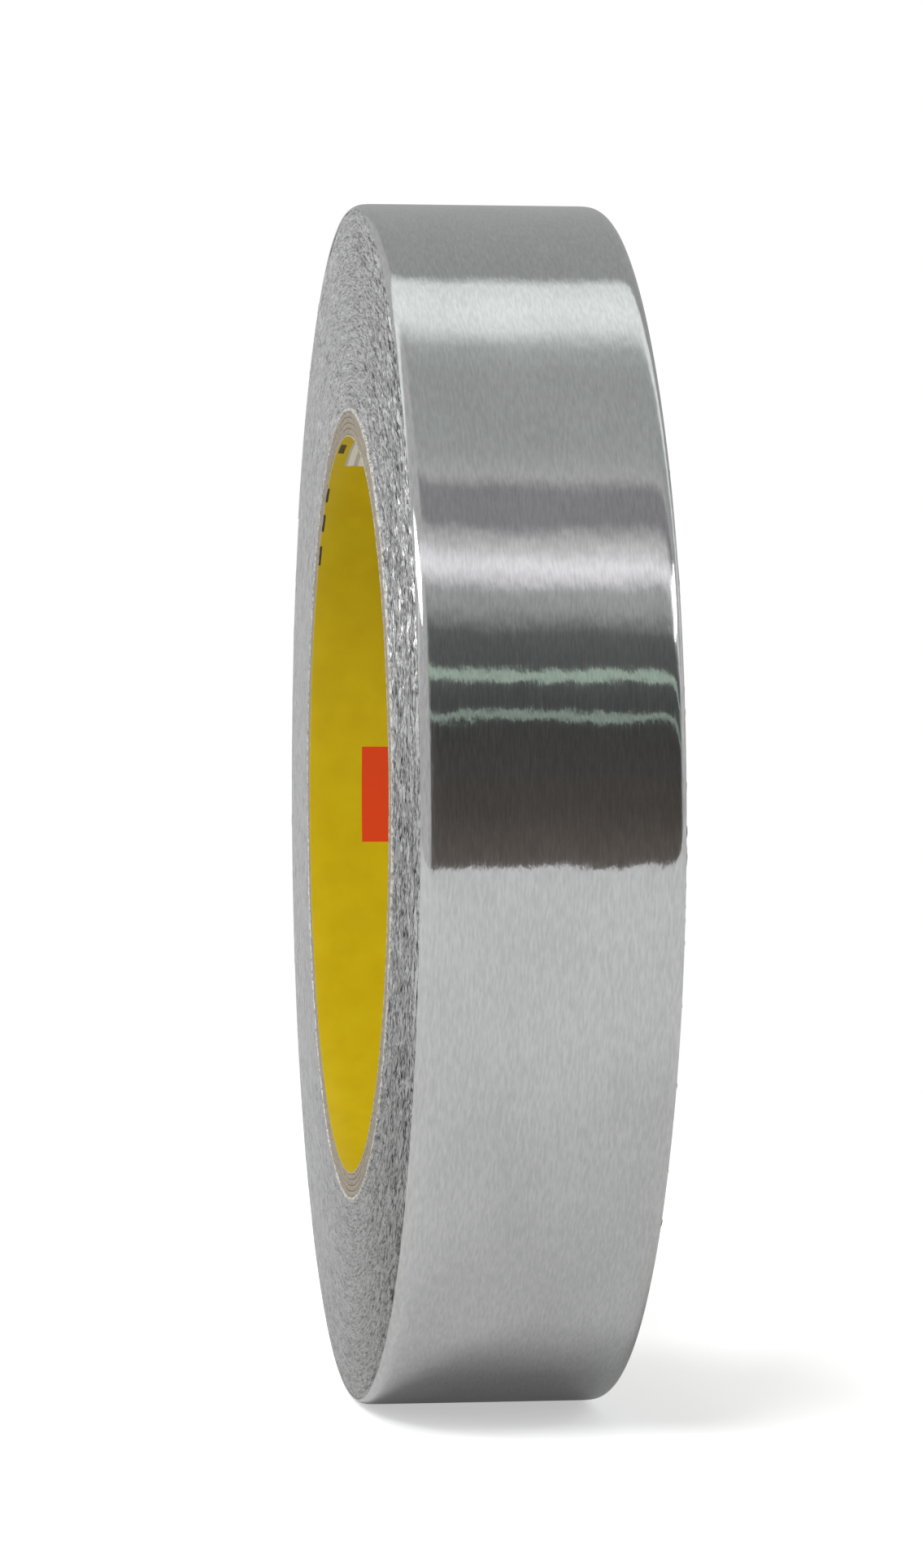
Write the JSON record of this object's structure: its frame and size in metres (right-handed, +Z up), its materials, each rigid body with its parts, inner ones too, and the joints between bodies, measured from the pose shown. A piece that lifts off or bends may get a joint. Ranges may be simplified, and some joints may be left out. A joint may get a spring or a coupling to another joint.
{
  "type": "foil tape roll",
  "caption": "Roll of narrow aluminium foil tape on a spiral-wound paperboard core, standing on its rim, with a free end that peels back.",
  "frame": {"origin": "centre of the core's bore, midway across the width of the tape", "axes": "+Y along the roll's axis, +Z up with the roll standing on its rim"},
  "size_m": [0.124, 0.0254, 0.124],
  "materials": {
    "foil": "brushed, bright rolled foil",
    "wound_edge": "satin, fine layered edges",
    "adhesive": "clear glossy acrylic adhesive on bright foil",
    "liner_paper": "semi-gloss printed paper",
    "core_board": "matte cut paperboard",
    "white_paper": "matte"
  },
  "bodies": {
    "roll": {"core_liner": "liner_paper", "core_board_ply_1": "core_board", "core_board_ply_2": "core_board", "core_board_ply_3": "core_board", "core_board_ply_4": "core_board", "core_outer_ply": "white_paper", "first_turn_adhesive": "adhesive", "first_turn_foil": "foil", "wound_band_1": "wound_edge", "wound_band_2": "wound_edge", "wound_band_3": "wound_edge", "wound_band_4": "wound_edge", "last_turn_adhesive": "adhesive", "last_turn_foil": "foil"},
    "free_end_1": {"free_end_adhesive_1": "adhesive", "free_end_foil_1": "foil"},
    "free_end_2": {"free_end_adhesive_2": "adhesive", "free_end_foil_2": "foil"},
    "free_end_3": {"free_end_adhesive_3": "adhesive", "free_end_foil_3": "foil"},
    "free_end_4": {"free_end_adhesive_4": "adhesive", "free_end_foil_4": "foil"},
    "free_end_5": {"free_end_adhesive_5": "adhesive", "free_end_foil_5": "foil"},
    "free_end_6": {"free_end_adhesive_6": "adhesive", "free_end_foil_6": "foil"}
  },
  "joints": [
    {"name": "free_end_bend_1", "type": "hinge", "parent": "roll", "child": "free_end_1", "pos_m": [-0.01607, 0, 0.05998], "axis": [0, 1, 0], "range_deg": [0, 20]},
    {"name": "free_end_bend_2", "type": "hinge", "parent": "free_end_1", "child": "free_end_2", "pos_m": [-0.02376, 0, 0.05737], "axis": [0, 1, 0], "range_deg": [0, 20]},
    {"name": "free_end_bend_3", "type": "hinge", "parent": "free_end_2", "child": "free_end_3", "pos_m": [-0.03105, 0, 0.05378], "axis": [0, 1, 0], "range_deg": [0, 20]},
    {"name": "free_end_bend_4", "type": "hinge", "parent": "free_end_3", "child": "free_end_4", "pos_m": [-0.0378, 0, 0.04927], "axis": [0, 1, 0], "range_deg": [0, 20]},
    {"name": "free_end_bend_5", "type": "hinge", "parent": "free_end_4", "child": "free_end_5", "pos_m": [-0.04391, 0, 0.04391], "axis": [0, 1, 0], "range_deg": [0, 20]},
    {"name": "free_end_bend_6", "type": "hinge", "parent": "free_end_5", "child": "free_end_6", "pos_m": [-0.04927, 0, 0.0378], "axis": [0, 1, 0], "range_deg": [0, 20]}
  ],
  "couplings": [
    {"joint": "free_end_bend_2", "follows": "free_end_bend_1", "ratio": 1},
    {"joint": "free_end_bend_3", "follows": "free_end_bend_1", "ratio": 1},
    {"joint": "free_end_bend_4", "follows": "free_end_bend_1", "ratio": 1},
    {"joint": "free_end_bend_5", "follows": "free_end_bend_1", "ratio": 1},
    {"joint": "free_end_bend_6", "follows": "free_end_bend_1", "ratio": 1}
  ]
}
